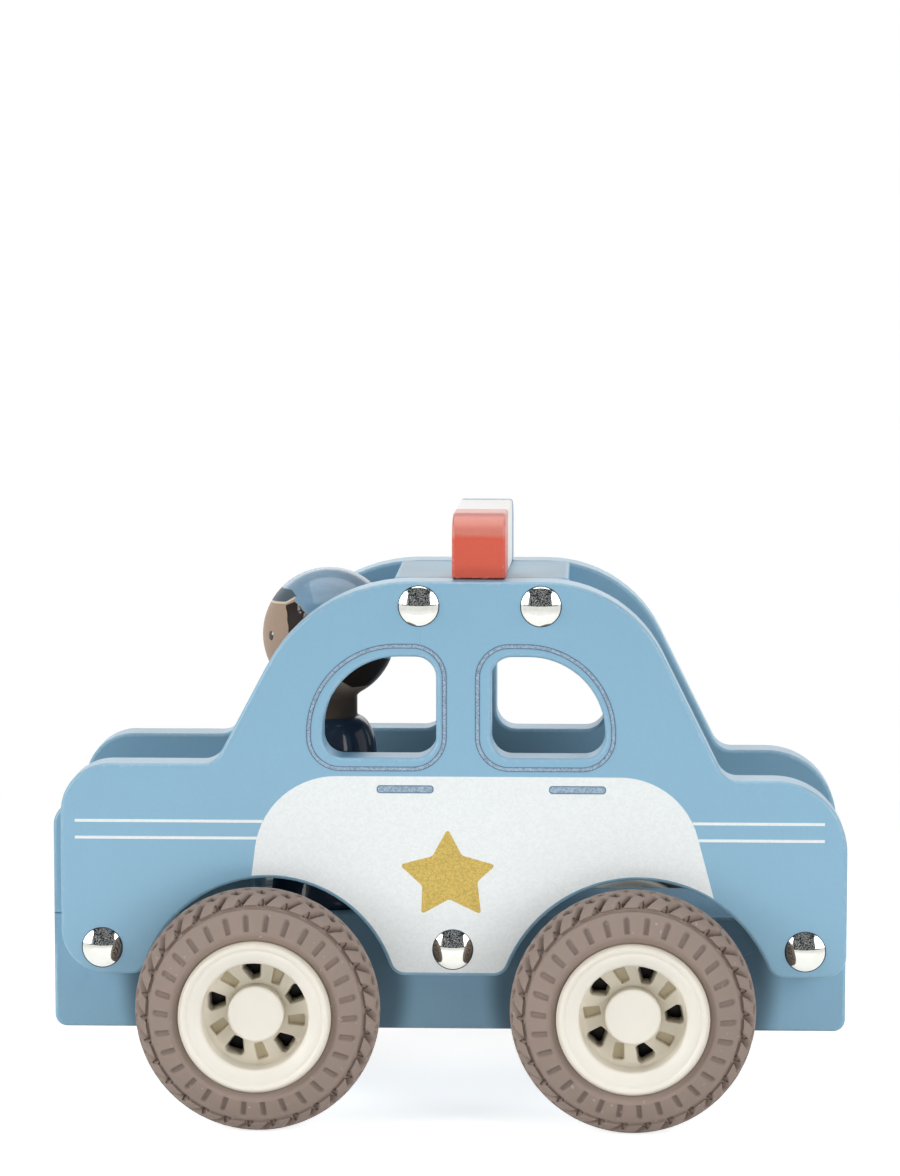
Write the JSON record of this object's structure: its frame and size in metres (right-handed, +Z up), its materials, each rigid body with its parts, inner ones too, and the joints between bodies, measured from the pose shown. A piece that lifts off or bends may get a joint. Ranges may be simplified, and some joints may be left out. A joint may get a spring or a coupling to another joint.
{
  "type": "toy police car",
  "caption": "Wooden push-along toy police car: nailed side panels on a timber core, rolling rubber-tyred wheels on steel axles, a roof light bar and a lift-out peg driver.",
  "frame": {"origin": "on the ground under the middle of the car, half way between its ends and its sides", "axes": "+X to the car's front, +Y to its left side, +Z up"},
  "size_m": [0.165, 0.0978, 0.1247],
  "materials": {
    "blue_paint": "satin light blue paint on timber",
    "lamp_paint": "satin red, white and blue paint on timber",
    "bare_wood": "bare timber",
    "nail_chrome": "polished",
    "axle_steel": "bright drawn",
    "rim_plastic": "satin cream",
    "tyre_rubber": "matt taupe",
    "driver_paint": "painted turned timber"
  },
  "bodies": {
    "car_body": {"chassis_board": "blue_paint", "front_block": "blue_paint", "left_side_panel": "blue_paint", "right_side_panel": "blue_paint", "roof_block": "blue_paint", "light_bar": "lamp_paint", "front_block_dowels": "bare_wood", "light_bar_dowels": "bare_wood", "left_roof_nails": "nail_chrome", "left_sill_nails": "nail_chrome", "right_roof_nails": "nail_chrome", "right_sill_nails": "nail_chrome"},
    "front_wheels": {"front_axle": "axle_steel", "front_axle_spacers": "rim_plastic", "front_left_rim": "rim_plastic", "front_right_rim": "rim_plastic", "front_left_tyre": "tyre_rubber", "front_right_tyre": "tyre_rubber", "front_left_hub_cap": "rim_plastic", "front_right_hub_cap": "rim_plastic"},
    "rear_wheels": {"rear_axle": "axle_steel", "rear_axle_spacers": "rim_plastic", "rear_left_rim": "rim_plastic", "rear_right_rim": "rim_plastic", "rear_left_tyre": "tyre_rubber", "rear_right_tyre": "tyre_rubber", "rear_left_hub_cap": "rim_plastic", "rear_right_hub_cap": "rim_plastic"},
    "peg_driver": {"driver": "driver_paint"}
  },
  "joints": [
    {"name": "front_axle_spin", "type": "hinge", "parent": "car_body", "child": "front_wheels", "pos_m": [0.0382, 0, 0.025], "axis": [0, 1, 0], "continuous": true},
    {"name": "rear_axle_spin", "type": "hinge", "parent": "car_body", "child": "rear_wheels", "pos_m": [-0.0382, 0, 0.025], "axis": [0, 1, 0], "continuous": true},
    {"name": "driver_lift", "type": "slide", "parent": "car_body", "child": "peg_driver", "axis": [0, 0, 1], "range_m": [0, 0.095]}
  ]
}
